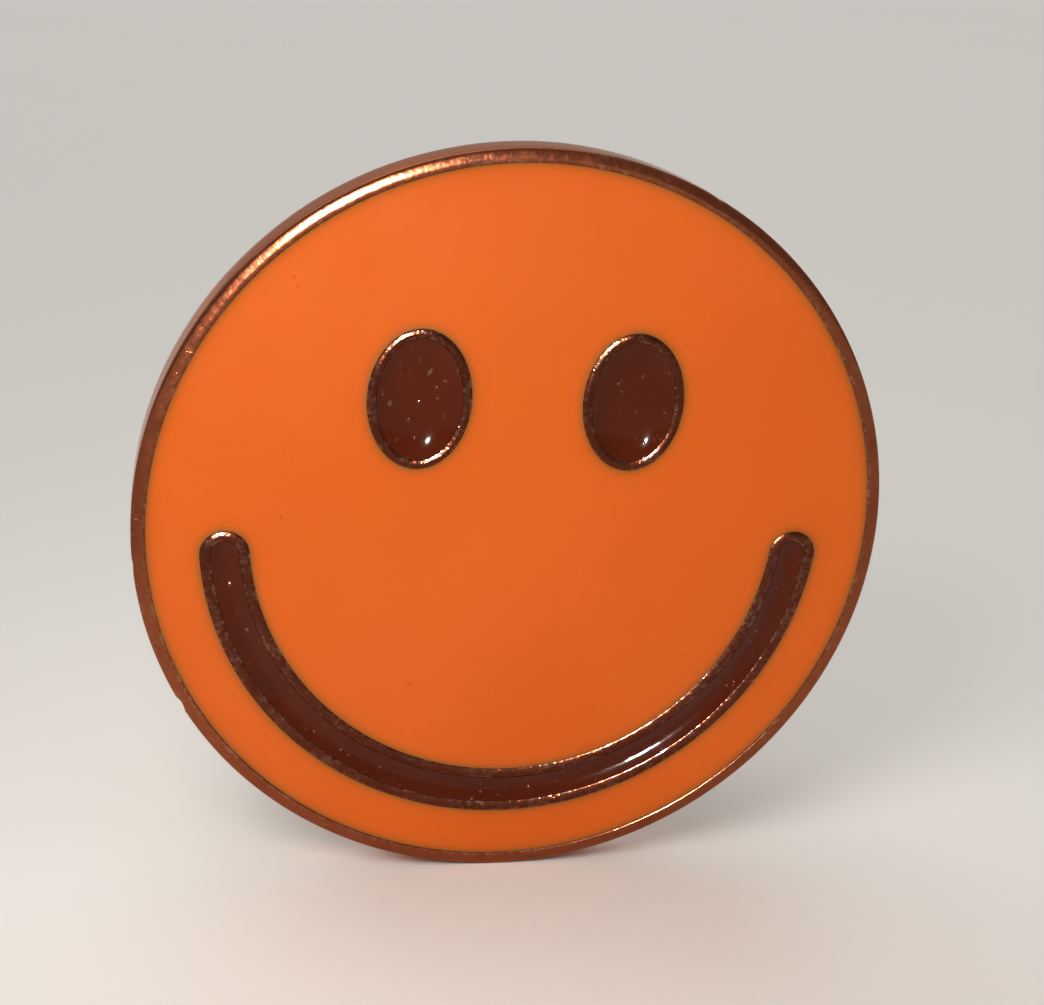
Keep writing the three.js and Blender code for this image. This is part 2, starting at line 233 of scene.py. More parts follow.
class Shell:
    """The points and faces of one piece. Each point has a mark, 0 to 1, that its material reads as edge."""

    def __init__(self):
        self.points = []
        self.marks = []
        self.faces = []

    def ring(self, points, mark=0.0):
        """Adds points and returns their numbers."""
        first = len(self.points)
        self.points.extend(points)
        self.marks.extend([mark] * len(points))
        return list(range(first, len(self.points)))

    def join(self, one, other):
        """Adds a band of faces between two rings of as many points."""
        for here in range(len(one)):
            after = (here + 1) % len(one)
            self.faces.append((one[here], one[after], other[after], other[here]))

    def turned(self, profile, steps, wobble=None):
        """Turns a profile of (radius, height, mark) round the middle, and returns its rings."""
        rings = []
        for radius, height, mark in profile:
            circle = []
            for step in range(steps):
                angle = 2 * math.pi * step / steps
                r, h = wobble(angle, radius, height) if wobble else (radius, height)
                circle.append((r * math.cos(angle), r * math.sin(angle), h))
            rings.append(self.ring(circle, mark))
        for one, other in zip(rings, rings[1:]):
            self.join(one, other)
        return rings

    def close(self, ring, point, mark=0.0):
        """Closes a ring with a fan of faces to one point."""
        tip = self.ring([point], mark)[0]
        for here in range(len(ring)):
            self.faces.append((ring[here], ring[(here + 1) % len(ring)], tip))

    def fill(self, rings, depth_inside, height, mark=None, spacing=None):
        """Fills the region between rings. depth_inside(x, y) is how far a point is inside it."""
        known = [index for ring in rings for index in ring]
        flat = [Vector(self.points[index][:2]) for index in known]
        edges = loop_edges(rings)
        if spacing:
            flat.extend(grid_inside(flat, depth_inside, spacing))
        found, _, triangles, origins, _, _ = delaunay_2d_cdt(flat, edges, [], 0, MERGE_DISTANCE)
        index_of = []
        for place, sources in zip(found, origins):
            old = [source for source in sources if source < len(known)]
            if old:
                index_of.append(known[old[0]])
                continue
            shade = mark(place.x, place.y) if mark else 0.0
            index_of.append(self.ring([(place.x, place.y, height(place.x, place.y))], shade)[0])
        for triangle in triangles:
            x = sum(found[corner].x for corner in triangle) / len(triangle)
            y = sum(found[corner].y for corner in triangle) / len(triangle)
            if depth_inside(x, y) > 0:
                self.faces.append(tuple(index_of[corner] for corner in triangle))


def loop_edges(loops):
    """The edges of closed loops whose points are numbered one loop after another."""
    edges = []
    for loop in loops:
        first, count = len(edges), len(loop)
        edges.extend((first + here, first + (here + 1) % count) for here in range(count))
    return edges


def grid_inside(flat, depth_inside, spacing):
    """Points of a staggered grid that lie inside the region and clear of its edge."""
    low_x, high_x = min(p.x for p in flat), max(p.x for p in flat)
    low_y, high_y = min(p.y for p in flat), max(p.y for p in flat)
    row_height = spacing * math.sqrt(3) / 2
    for row in range(int((high_y - low_y) / row_height) + 1):
        y = low_y + (row + 0.5) * row_height
        for column in range(int((high_x - low_x) / spacing) + 1):
            x = low_x + (column + 0.5 * (row % 2)) * spacing
            if depth_inside(x, y) > EDGE_SPACE * spacing:
                yield Vector((x, y))


def add_piece(shell, name, place, material, body, replaced):
    """Makes the piece's mesh in its place, gives it to its CAD body if it has one, and returns it."""
    mesh = bpy.data.meshes.new(name)
    mesh.from_pydata([place(*point) for point in shell.points], [], shell.faces)
    edge = mesh.attributes.new("edge", "FLOAT", "POINT")
    edge.data.foreach_set("value", shell.marks)
    work = bmesh.new()
    work.from_mesh(mesh)
    bmesh.ops.recalc_face_normals(work, faces=work.faces)
    for face in work.faces:
        face.smooth = True
    work.to_mesh(mesh)
    work.free()
    mesh.set_sharp_from_angle(angle=SHARP_ANGLE)
    mesh.materials.append(material)
    piece = add_object(name, mesh)
    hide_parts(*replaced)
    if body:
        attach(piece, body)
    return piece


def place_front(x, y, height):
    """Stands up the drawing of the front: height is in front of the plate's back."""
    return Vector((x, -height, y)) * MM


def place_post(side):
    """Stands up the drawing of a post, on the left or right side, -1 or 1."""
    return lambda x, y, height: Vector((side * POST_X + x, height, -y)) * MM


def place_clutch(side):
    """Stands up the drawing of a clutch, whose ears are drawn left and right."""
    return lambda x, y, height: Vector((side * POST_X - y, CLUTCH_STANDOFF + height, -x)) * MM


# ------ outlines

def arc(centre_x, centre_y, radius, start, end, steps):
    """Points along an arc, both ends included."""
    turns = [start + (end - start) * step / steps for step in range(steps + 1)]
    return [(centre_x + radius * math.cos(a), centre_y + radius * math.sin(a)) for a in turns]


def marked(points, mark):
    """Points of a profile with their mark."""
    return [(radius, height, mark) for radius, height in points]


def line(start, end, across, steps):
    """Points between two places at one distance across, both ends left out."""
    return [(start + (end - start) * step / steps, across) for step in range(1, steps)]


def circle_outline(radius, steps=AROUND):
    return arc(0, 0, radius, 0, 2 * math.pi, steps)[:-1]


def eye_outline(side, inset):
    """The eye's outline, moved inwards by inset."""
    return [
        (side * EYE_X + (EYE_RADIUS_X - inset) * x, EYE_Y + (EYE_RADIUS_Y - inset) * y)
        for x, y in circle_outline(1, EYE_STEPS)
    ]


def mouth_outline(inset):
    """A stretch of ring with round ends, moved inwards by inset."""
    half = MOUTH_HALF_WIDTH - inset
    right = -math.pi / 2 + MOUTH_HALF_ANGLE
    left = -math.pi / 2 - MOUTH_HALF_ANGLE
    end_x, end_y = MOUTH_RADIUS * math.cos(right), MOUTH_RADIUS * math.sin(right)
    outline = arc(0, 0, MOUTH_RADIUS + half, left, right, MOUTH_STEPS)
    outline += arc(end_x, end_y, half, right, right + math.pi, MOUTH_END_STEPS)[1:-1]
    outline += arc(0, 0, MOUTH_RADIUS - half, right, left, MOUTH_STEPS)
    outline += arc(-end_x, end_y, half, left + math.pi, left + 2 * math.pi, MOUTH_END_STEPS)[1:-1]
    return outline


def outside_eye(side, inset, x, y):
    """How far a point is outside the eye's outline. It is less than 0 inside."""
    radius_x, radius_y = EYE_RADIUS_X - inset, EYE_RADIUS_Y - inset
    u, v = (x - side * EYE_X) / radius_x, (y - EYE_Y) / radius_y
    share = math.hypot(u, v)
    if share < 1e-6:
        return -min(radius_x, radius_y)
    return (share - 1) * share / math.hypot(u / radius_x, v / radius_y)


def outside_mouth(inset, x, y):
    """How far a point is outside the mouth's outline. It is less than 0 inside."""
    turn = math.atan2(x, -y)
    if abs(turn) <= MOUTH_HALF_ANGLE:
        off_line = abs(math.hypot(x, y) - MOUTH_RADIUS)
    else:
        end_x = MOUTH_RADIUS * math.sin(MOUTH_HALF_ANGLE)
        end_y = -MOUTH_RADIUS * math.cos(MOUTH_HALF_ANGLE)
        off_line = math.hypot(abs(x) - end_x, y - end_y)
    return off_line - (MOUTH_HALF_WIDTH - inset)


def inside_eye(side):
    """A function that tells how far a point is inside the raised line round an eye."""
    return lambda x, y: -outside_eye(side, EYE_OUTLINE, x, y)


def inside_mouth(x, y):
    """How far a point is inside the raised line round the mouth."""
    return -outside_mouth(MOUTH_OUTLINE, x, y)


def inside_face(x, y):
    """How far a point is from the metal, on the orange part of the face."""
    return min(
        WELL_RADIUS - math.hypot(x, y),
        outside_eye(-1, 0, x, y),
        outside_eye(1, 0, x, y),
        outside_mouth(0, x, y),
    )


# ------ materials

def colour(red, green, blue):
    """A screen colour, 0 to 255, as the linear colour that shaders use."""
    linear = [
        c / 12.92 if c <= 0.04045 else ((c + 0.055) / 1.055) ** 2.4
        for c in (red / 255, green / 255, blue / 255)
    ]
    return (*linear, 1.0)


class Look:
    """A material, and short ways to add the nodes that it is made of."""

    def __init__(self, name, metallic, **settings):
        self.material = bpy.data.materials.new(name)
        self.material.use_nodes = True
        self.tree = self.material.node_tree
        self.shader = self.tree.nodes["Principled BSDF"]
        self.shader.inputs["Metallic"].default_value = metallic
        for socket, value in settings.items():
            self.shader.inputs[socket.replace("_", " ")].default_value = value
        self.place = self.tree.nodes.new("ShaderNodeTexCoord").outputs["Object"]

    def add(self, kind, values, **settings):
        """Adds a node. values are its inputs by name or number: a plain value or another node's output."""
        node = self.tree.nodes.new("ShaderNode" + kind)
        for setting, value in settings.items():
            setattr(node, setting, value)
        for key, value in values.items():
            if isinstance(value, bpy.types.NodeSocket):
                self.tree.links.new(value, node.inputs[key])
            else:
                node.inputs[key].default_value = value
        return node

    def stretched(self, x, y, z, turn=0.0):
        """Coordinates in units of 1/x, 1/y and 1/z millimetres, turned by some degrees about the Y axis."""
        rotation = (0, math.radians(turn), 0)
        values = {"Vector": self.place, "Rotation": rotation, "Scale": (x / MM, y / MM, z / MM)}
        return self.add("Mapping", values).outputs[0]

    def noise(self, scale, detail, rough=0.5, stretch=(1, 1, 1), turn=0.0):
        """Noise with about this many lumps per millimetre."""
        where = self.stretched(*(scale * share for share in stretch), turn)
        values = {"Vector": where, "Scale": 1.0, "Detail": detail, "Roughness": rough}
        return self.add("TexNoise", values).outputs["Fac"]

    def remap(self, value, low, high, to_low=0.0, to_high=1.0):
        values = {"Value": value, 1: low, 2: high, 3: to_low, 4: to_high}
        return self.add("MapRange", values, clamp=True).outputs[0]

    def wander(self, scale, detail, low=0.0, high=1.0, start=0.3, end=0.7):
        """Noise whose values from start to end are spread over low to high."""
        return self.remap(self.noise(scale, detail), start, end, low, high)

    def math(self, operation, one, other):
        return self.add("Math", {0: one, 1: other}, operation=operation).outputs[0]

    def mix(self, share, one, other):
        return self.add("Mix", {0: share, 6: one, 7: other}, data_type="RGBA").outputs[2]

    def share_of(self, mask, share):
        """A mask made weaker."""
        return self.math("MULTIPLY", mask, share)

    def edge(self):
        """The mark of the points: 1 on an edge that wears, or on enamel that meets metal, where the orange
        paints shade.
        """
        return self.add("Attribute", {}, attribute_name="edge").outputs["Fac"]

    def specks(self, per_mm, size, share):
        """Small round specks: 1 in a speck, 0 elsewhere. share is how many of the cells have one."""
        where = self.stretched(per_mm, per_mm, per_mm)
        cells = self.add("TexVoronoi", {"Vector": where, "Scale": 1.0}, voronoi_dimensions="3D")
        near = self.remap(cells.outputs["Distance"], size, size * 0.2)
        chance = self.add("SeparateColor", {"Color": cells.outputs["Color"]}).outputs[0]
        return self.math("MULTIPLY", near, self.math("GREATER_THAN", chance, 1 - share))

    def bit_at(self, x, y, size, slim=1.0, turn=0.0):
        """One bit of dirt at a point on the front, slim times as long as wide and turned by some degrees."""
        values = {0: self.place, 1: place_front(x, y, RIM_HEIGHT)}
        away = self.add("VectorMath", values, operation="SUBTRACT").outputs[0]
        turned = self.add("Mapping", {"Vector": away, "Rotation": (0, math.radians(turn), 0)}).outputs[0]
        scale = 1 / (size * MM)
        values = {0: turned, 1: (scale, 0, scale * slim)}
        shape = self.add("VectorMath", values, operation="MULTIPLY").outputs[0]
        reach = self.add("VectorMath", {0: shape}, operation="LENGTH").outputs["Value"]
        return self.remap(reach, 1.1, 0.1)

    def bits(self, known, places):
        """Adds bits at these places to a mask."""
        for place in places:
            known = self.math("MAXIMUM", known, self.bit_at(*place))
        return known

    def scratches(self, turn, amount):
        """Fine straight scratches in one direction: 1 in a scratch."""
        lines = self.noise(1.0, 1.0, 0.5, (0.35, 14, 14), turn)
        patches = self.noise(0.35, 1.0)
        thin = self.remap(lines, 0.74 - amount, 0.78 - amount)
        return self.math("MULTIPLY", thin, self.remap(patches, 0.5, 0.62))

    def bump(self, height, distance, under=None):
        values = {"Height": height, "Distance": distance * MM, "Strength": 1.0}
        if under:
            values["Normal"] = under
        return self.add("Bump", values).outputs[0]

    def finish(self, **sockets):
        for socket, value in sockets.items():
            self.tree.links.new(value, self.shader.inputs[socket.replace("_", " ")])
        return self.material


# Bits of dirt that stand out, as (x, y, size) and for longish ones also (slim, turn).
ORANGE_BITS = [(-7.9, 0.4, 0.09), (-4.3, 2.6, 0.06), (-3.4, -5.6, 0.1), (-7.6, 8.1, 0.07)]
BROWN_BITS = [
    (-3.24, 5.34, 0.16, 2.2, 62), (-4.5, 4.28, 0.12, 1.4, 80), (-2.75, 5.05, 0.06),
    (-4.75, 4.6, 0.07, 1.4, 50), (-2.95, 4.45, 0.05), (3.85, 5.3, 0.1, 3.0, 85),
    (3.05, 5.05, 0.08, 1.5, 20), (8.79, -3.83, 0.07), (8.6, -4.2, 0.09, 2.2, 20),
    (-8.9, -3.6, 0.07), (-5.6, -8.1, 0.07, 1.8, 30),
]


def orange_enamel():
    """Glossy baked enamel with painted olive shade beside the metal, a few red specks and grains of dust."""
    look = Look("orange_enamel", 0.0, IOR=1.32)
    clouds = look.wander(0.11, 2.0, start=0.35, end=0.65)
    tone = look.mix(clouds, colour(233, 101, 17), colour(238, 106, 21))
    # Painted shade: the orange turns darker and olive where it meets the metal walls.
    tone = look.mix(look.share_of(look.edge(), 0.8), tone, colour(112, 86, 28))
    red = look.bits(look.specks(0.55, 0.045, 0.3), ORANGE_BITS)
    tone = look.mix(look.share_of(red, 0.45), tone, colour(176, 52, 20))
    dust = look.specks(1.1, 0.05, 0.05)
    tone = look.mix(look.share_of(dust, 0.5), tone, colour(250, 190, 140))
    rough = look.wander(0.6, 4.0, 0.14, 0.18)
    peel = look.bump(look.noise(1.3, 2.0), 0.004)
    grains = look.bump(dust, 0.02, peel)
    return look.finish(Base_Color=tone, Roughness=rough, Normal=grains)


def brown_enamel():
    """Glossy dark enamel with red specks, hair scratches and fine pale dust."""
    look = Look("brown_enamel", 0.0, IOR=1.28)
    tone = look.mix(look.wander(0.5, 3.0), colour(82, 26, 4), colour(89, 30, 5))
    red = look.specks(3.4, 0.3, 0.34)
    tone = look.mix(look.share_of(red, 0.5), tone, colour(128, 56, 38))
    lines = look.math("MAXIMUM", look.scratches(34, 0.02), look.scratches(-52, 0.02))
    tone = look.mix(look.share_of(lines, 0.25), tone, colour(140, 84, 56))
    dust = look.math("MAXIMUM", look.specks(4.5, 0.24, 0.025), look.specks(8.0, 0.24, 0.02))
    dust = look.bits(dust, BROWN_BITS)
    tone = look.mix(look.share_of(dust, 0.5), tone, colour(152, 124, 106))
    rough = look.wander(2.0, 4.0, 0.045, 0.065)
    waves = look.bump(look.noise(1.6, 2.0), 0.003)
    grains = look.bump(look.math("MAXIMUM", red, dust), 0.02, waves)
    return look.finish(Base_Color=tone, Roughness=rough, Normal=grains)


def plated_metal():
    """Plating, brown partly as painted reflection: polished rim, darker grainy outlines, worn crests,
    lighter orange side wall.
    """
    look = Look(
        "plated_metal", 1.0, Specular_Tint=(0.75, 0.55, 0.42, 1.0),
        Coat_Weight=0.25, Coat_Roughness=0.15, Coat_IOR=1.4,
    )
    flat = look.add("VectorMath", {0: look.place, 1: (1, 0, 1)}, operation="MULTIPLY").outputs[0]
    radius = look.add("VectorMath", {0: flat}, operation="LENGTH").outputs["Value"]
    depth = look.add("SeparateXYZ", {0: look.place}).outputs["Y"]
    rim_start, rim_end = (WELL_RADIUS - 0.3) * MM, (WELL_RADIUS + 0.1) * MM
    # Painted reflection: the outer side wall is coloured lighter and orange, as if it mirrored orange
    # surroundings.
    painted_wall_reflection = look.remap(radius, (PLATE_RADIUS - 0.12) * MM, (PLATE_RADIUS - 0.04) * MM)
    painted_wall_reflection = look.math("MULTIPLY", painted_wall_reflection, look.remap(depth, -1.35 * MM, -1.15 * MM))

    clouds = look.wander(0.9, 4.0)
    # Both tones are the plating's colour plus a painted reflection of warm surroundings; the rim's is
    # painted lighter.
    outline_tone_and_reflection = look.mix(clouds, colour(88, 36, 16), colour(97, 42, 20))
    rim_tone_and_reflection = look.mix(clouds, colour(134, 67, 37), colour(146, 76, 45))
    tone = look.mix(look.remap(radius, rim_start, rim_end), outline_tone_and_reflection, rim_tone_and_reflection)
    tone = look.mix(painted_wall_reflection, tone, colour(218, 110, 60))
    patches = look.wander(0.8, 3.0, 0.2, 1.0, start=0.4, end=0.6)
    grains = look.wander(7.0, 3.0, start=0.48, end=0.6)
    worn = look.math("MULTIPLY", look.math("MULTIPLY", look.edge(), grains), patches)
    tone = look.mix(look.share_of(worn, 0.35), tone, colour(196, 172, 154))
    pits = look.specks(4.0, 0.2, 0.05)
    tone = look.mix(look.share_of(pits, 0.4), tone, colour(60, 34, 22))

    rough = look.wander(5.0, 4.0, 0.1, 0.16)
    coarse = look.remap(radius, rim_start, rim_end, 1.0, 0.3)
    grain = look.bump(look.math("MULTIPLY", look.noise(6.0, 3.0), coarse), 0.015)
    lines = look.math("MAXIMUM", look.scratches(20, 0.0), look.scratches(-65, 0.0))
    cut = look.bump(look.math("ADD", lines, pits), -0.005, grain)
    return look.finish(Base_Color=tone, Roughness=rough, Normal=cut)


def post_steel():
    """Nickel-plated steel with fine rings left by turning."""
    look = Look("post_steel", 1.0)
    tone = look.mix(look.wander(1.5, 3.0), colour(176, 170, 162), colour(205, 200, 192))
    rings = look.noise(1.0, 2.0, 0.5, (0.6, 18, 0.6))
    rough = look.wander(4.0, 3.0, 0.2, 0.4)
    return look.finish(Base_Color=tone, Roughness=rough, Normal=look.bump(rings, 0.01))


def solder_metal():
    """Dull flowed solder with a frosted, slightly lumpy skin."""
    look = Look("solder_metal", 1.0)
    frost = look.wander(2.0, 4.0, start=0.35, end=0.65)
    tone = look.mix(frost, colour(130, 128, 126), colour(182, 180, 176))
    rough = look.wander(5.0, 4.0, 0.35, 0.6)
    lumps = look.bump(look.noise(3.5, 4.0), 0.05)
    return look.finish(Base_Color=tone, Roughness=rough, Normal=lumps)


def clutch_brass():
    """Stamped brass sheet with drawing lines, tarnish, scratches and worn edges."""
    look = Look("clutch_brass", 1.0)
    tarnish = look.remap(look.noise(0.7, 5.0, 0.6), 0.42, 0.68)
    tone = look.mix(tarnish, colour(222, 182, 108), colour(176, 132, 70))
    worn = look.math("MULTIPLY", look.edge(), look.wander(2.0, 3.0, start=0.35, end=0.55))
    tone = look.mix(look.share_of(worn, 0.6), tone, colour(246, 222, 168))
    rough = look.wander(3.0, 4.0, 0.2, 0.4)
    grain = look.bump(look.noise(1.0, 3.0, 0.6, (22, 22, 0.5)), 0.006)
    lines = look.math("MAXIMUM", look.scratches(15, 0.0), look.scratches(70, 0.0))
    cut = look.bump(lines, -0.008, grain)
    return look.finish(Base_Color=tone, Roughness=rough, Normal=cut)


def pale_floor():
    """A plain matt floor. It has no gloss, so that the glint light leaves no streak on it."""
    look = Look("pale_floor", 0.0, Specular_IOR_Level=0.0)
    tone = look.mix(look.noise(0.004, 2.0), colour(236, 233, 228), colour(241, 238, 233))
    rough = look.wander(0.2, 3.0, 0.6, 0.75)
    return look.finish(Base_Color=tone, Roughness=rough)


PLATED, ORANGE, BROWN = plated_metal(), orange_enamel(), brown_enamel()
STEEL, SOLDER, BRASS = post_steel(), solder_metal(), clutch_brass()


# ------ the struck plate

def rim_wobble(angle, radius, height):
    """The rim isn't quite true, and has a few nicks in its outer edge."""
    away = Vector((math.cos(angle), math.sin(angle), height / 3)) * 6
    radius -= 0.006 * (1 + noise.noise(away))
    if radius > PLATE_RADIUS - 0.3 and height > 1:
        for nick, width, depth in RIM_NICKS:
            along = (angle - math.radians(nick)) * PLATE_RADIUS / width
            radius -= depth * math.exp(-along * along)
    return radius, height


def slope_down(start, end, start_tilt, end_tilt, steps):
    """Points (across, drop) down a slope that steepens evenly from one tilt to the other, in degrees."""
    first, last = (math.tan(math.radians(tilt)) for tilt in (start_tilt, end_tilt))
    points = []
    for step in range(steps + 1):
        share = step / steps
        drop = abs(end - start) * share * (first + share * (last - first) / 2)
        points.append((start + (end - start) * share, drop))
    return points


def raised_line(shell, outline, width):
    """A raised line along an outline: up its outer wall, over its roof and down its inner wall.
    Returns the rings at the foot of the two walls."""
    tilt = math.radians(LINE_WALL_TILT)
    wall_side = LINE_CORNER * (1 - math.sin(tilt))
    roof = slope_down(width / 2 - LINE_RIDGE, wall_side, LINE_RIDGE_TILT, LINE_WALL_TILT, 3)
    corner_height = RIM_HEIGHT - roof[-1][1] - LINE_CORNER * math.cos(tilt)
    stretch = [(0, FLOOR_HEIGHT, 0.0), (0, corner_height - 0.1, 0.2)]
    stretch += marked(arc(LINE_CORNER, corner_height, LINE_CORNER, math.pi, math.pi / 2 + tilt, 4), 1.0)
    stretch += [(inset, RIM_HEIGHT - drop, 0.3) for inset, drop in reversed(roof[:-1])]
    stretch.append((width / 2, RIM_HEIGHT + 0.001, 0.0))
    stretch += [(width - inset, height, mark) for inset, height, mark in reversed(stretch[:-1])]
    rings = [
        shell.ring([(x, y, height) for x, y in outline(inset)], mark)
        for inset, height, mark in stretch
    ]
    for one, other in zip(rings, rings[1:]):
        shell.join(one, other)
    return rings[0], rings[-1]


def plate_profile():
    """Half the plate's section: from the back round the edge, over the rim and down to the wells' floor."""
    tilt = math.radians(RIM_OUTER_TILT)
    outer = PLATE_RADIUS - RIM_CORNER * (1 - math.sin(tilt))
    bevel = slope_down(WELL_RADIUS + 0.15, outer, RIM_INNER_TILT, RIM_OUTER_TILT, 5)
    corner_height = RIM_HEIGHT - bevel[-1][1] - RIM_CORNER * math.cos(tilt)
    back_edge = arc(PLATE_RADIUS - BACK_ROUNDING, BACK_ROUNDING, BACK_ROUNDING, -math.pi / 2, 0, 5)
    outer_corner = arc(PLATE_RADIUS - RIM_CORNER, corner_height, RIM_CORNER, 0, math.pi / 2 - tilt, 6)
    inner, level = WELL_RADIUS + RIM_INNER_ROUNDING, RIM_HEIGHT - RIM_INNER_ROUNDING
    inner_corner = arc(inner, level, RIM_INNER_ROUNDING, math.pi / 2, math.pi, 5)
    profile = [(PLATE_RADIUS - BACK_EDGE, 0, 0.0)]
    profile += marked(back_edge, 0.5)
    profile += [(PLATE_RADIUS, 0.5, 0.1), (PLATE_RADIUS, 0.9, 0.1)]
    profile += marked(outer_corner, 0.4)
    profile += [(radius, RIM_HEIGHT - drop, 0.1) for radius, drop in reversed(bevel[:-1])]
    profile += marked(inner_corner, 0.8)
    return profile + [(WELL_RADIUS, FLOOR_HEIGHT, 0.0)]


def inside_back(x, y):
    """How far a point is inside the flat middle of the back."""
    return PLATE_RADIUS - BACK_EDGE - math.hypot(x, y)


def wells_floor(x, y):
    return FLOOR_HEIGHT


def struck_plate():
    """The plate is one skin: flat back, edge, rim, floor of the wells, and the raised lines on it."""
    shell = Shell()
    rings = shell.turned(plate_profile(), AROUND, rim_wobble)
    shell.fill([rings[0]], inside_back, lambda x, y: 0.0, spacing=0.8)
    left_eye = raised_line(shell, lambda inset: eye_outline(-1, inset), EYE_OUTLINE)
    right_eye = raised_line(shell, lambda inset: eye_outline(1, inset), EYE_OUTLINE)
    mouth = raised_line(shell, mouth_outline, MOUTH_OUTLINE)
    shell.fill([rings[-1], left_eye[0], right_eye[0], mouth[0]], inside_face, wells_floor, spacing=0.8)
    shell.fill([left_eye[1]], inside_eye(-1), wells_floor, spacing=0.5)
    shell.fill([right_eye[1]], inside_eye(1), wells_floor, spacing=0.5)
    shell.fill([mouth[1]], inside_mouth, wells_floor)
    add_piece(shell, "struck_plate", place_front, PLATED, "badge", ["badge_plate"])


struck_plate()


# ------ enamel

def enamel(name, node, material, outlines, inside, height, edge_reach, spacing):
    """A pool of enamel: a curved top, walls against the metal and a flat underside. Each outline is a
    function of inset after its sense: 1 for the outer one, -1 for metal inside it. The top is drawn finer
    near its walls, and its edge mark fades over edge_reach."""
    shell = Shell()
    insets = [ENAMEL_GAP, 0.04, 0.08, 0.14, 0.22, 0.34]

    def edge(x, y):
        return max(0.0, min(1.0, math.exp(-inside(x, y) / edge_reach)))

    def underside(x, y):
        return FLOOR_HEIGHT + FIT_GAP

    inner_rings, bottom_rings = [], []
    for sense, outline in outlines:
        rings = []
        for inset in insets:
            flat = outline(sense * inset)
            ring = shell.ring([(x, y, height(x, y)) for x, y in flat])
            for index, (x, y) in zip(ring, flat):
                shell.marks[index] = edge(x, y)
            rings.append(ring)
        for one, other in zip(rings, rings[1:]):
            shell.join(one, other)
        bottom = shell.ring([(x, y, underside(x, y)) for x, y in outline(sense * ENAMEL_GAP)])
        shell.join(bottom, rings[0])
        inner_rings.append(rings[-1])
        bottom_rings.append(bottom)
    shell.fill(inner_rings, lambda x, y: inside(x, y) - insets[-1], height, edge, spacing)
    shell.fill(bottom_rings, inside, underside)
    add_piece(shell, name, place_front, material, "badge", [node])


def face_height(x, y):
    """The orange lies a little below the rim, climbs the metal beside it, and isn't quite flat."""
    depth = max(0.0, inside_face(x, y))
    climb = (FACE_DROP - WALL_DROP) * math.exp(-depth / FACE_CLIMB)
    swell = FACE_SWELL * noise.noise(Vector((x, y, 0)) * 0.22)
    return RIM_HEIGHT - FACE_DROP + climb + swell * min(1.0, depth)


def face_enamel():
    outlines = [
        (1, lambda inset: circle_outline(WELL_RADIUS - inset)),
        (-1, lambda inset: eye_outline(-1, inset)),
        (-1, lambda inset: eye_outline(1, inset)),
        (-1, mouth_outline),
    ]
    # The orange's edge mark, fading over edge_reach, is where its painted shade goes.
    enamel(
        "orange_face", "face_enamel", ORANGE,
        outlines, inside_face, face_height, edge_reach=0.13, spacing=0.35,
    )


def eye_enamel(side, side_name):
    """An eye is a shallow bowl of enamel."""

    def height(x, y):
        u = (x - side * EYE_X) / (EYE_RADIUS_X - EYE_OUTLINE)
        v = (y - EYE_Y) / (EYE_RADIUS_Y - EYE_OUTLINE)
        share = min(1.0, math.hypot(u, v))
        return RIM_HEIGHT - BOWL_WALL_DROP - EYE_HOLLOW * (1 - share ** 3)

    outlines = [(1, lambda inset: eye_outline(side, EYE_OUTLINE + inset))]
    enamel(
        f"{side_name}_eye_pool", f"{side_name}_eye_enamel", BROWN,
        outlines, inside_eye(side), height, edge_reach=0.1, spacing=0.12,
    )


def mouth_enamel():
    """The mouth is a trough of enamel with straight sides and a round bottom."""
    half = MOUTH_HALF_WIDTH - MOUTH_OUTLINE
    bottom = 0.25

    def height(x, y):
        share = max(0.0, min(1.0, 1 - inside_mouth(x, y) / half))
        climb = (math.hypot(share, bottom) - bottom) / (math.hypot(1, bottom) - bottom)
        return RIM_HEIGHT - BOWL_WALL_DROP - MOUTH_HOLLOW * (1 - climb)

    outlines = [(1, lambda inset: mouth_outline(MOUTH_OUTLINE + inset))]
    enamel(
        "mouth_pool", "mouth_enamel", BROWN,
        outlines, inside_mouth, height, edge_reach=0.08, spacing=0.07,
    )


face_enamel()
eye_enamel(-1, "left")
eye_enamel(1, "right")
mouth_enamel()


# ------ posts

def pointed_post(side, side_name):
    """A turned steel post: flat foot, round shank, groove for the clutch and a pointed end."""
    shell = Shell()
    profile = [(FOOT_RADIUS - 0.05, FIT_GAP, 0.2), (FOOT_RADIUS, FIT_GAP + 0.05, 0.8)]
    profile += marked(arc(FOOT_RADIUS - 0.06, FOOT_HEIGHT - 0.06, 0.06, 0, math.pi / 2, 4), 1.0)
    fillet_x, fillet_y = POST_RADIUS + FOOT_FILLET, FOOT_HEIGHT + FOOT_FILLET
    profile += marked(arc(fillet_x, fillet_y, FOOT_FILLET, 1.5 * math.pi, math.pi, 5), 0.0)
    for step in range(13):
        share = step / 12
        dip = GROOVE_DEPTH * math.sin(math.pi * share) ** 2
        profile.append((POST_RADIUS - dip, GROOVE_HEIGHT + (share - 0.5) * GROOVE_LENGTH, 0.0))
    for step in range(9):
        share = step / 8
        height = POST_LENGTH - POINT_LENGTH * (1 - share)
        profile.append((max(TIP_RADIUS, POST_RADIUS * (1 - share ** 1.8)), height, 0.0))
    rings = shell.turned(profile, 72)
    shell.close(rings[0], (0, 0, FIT_GAP))
    shell.close(rings[-1], (0, 0, POST_LENGTH))
    name = f"{side_name}_pin_post"
    add_piece(shell, name, place_post(side), STEEL, "badge", [f"{side_name}_post"])


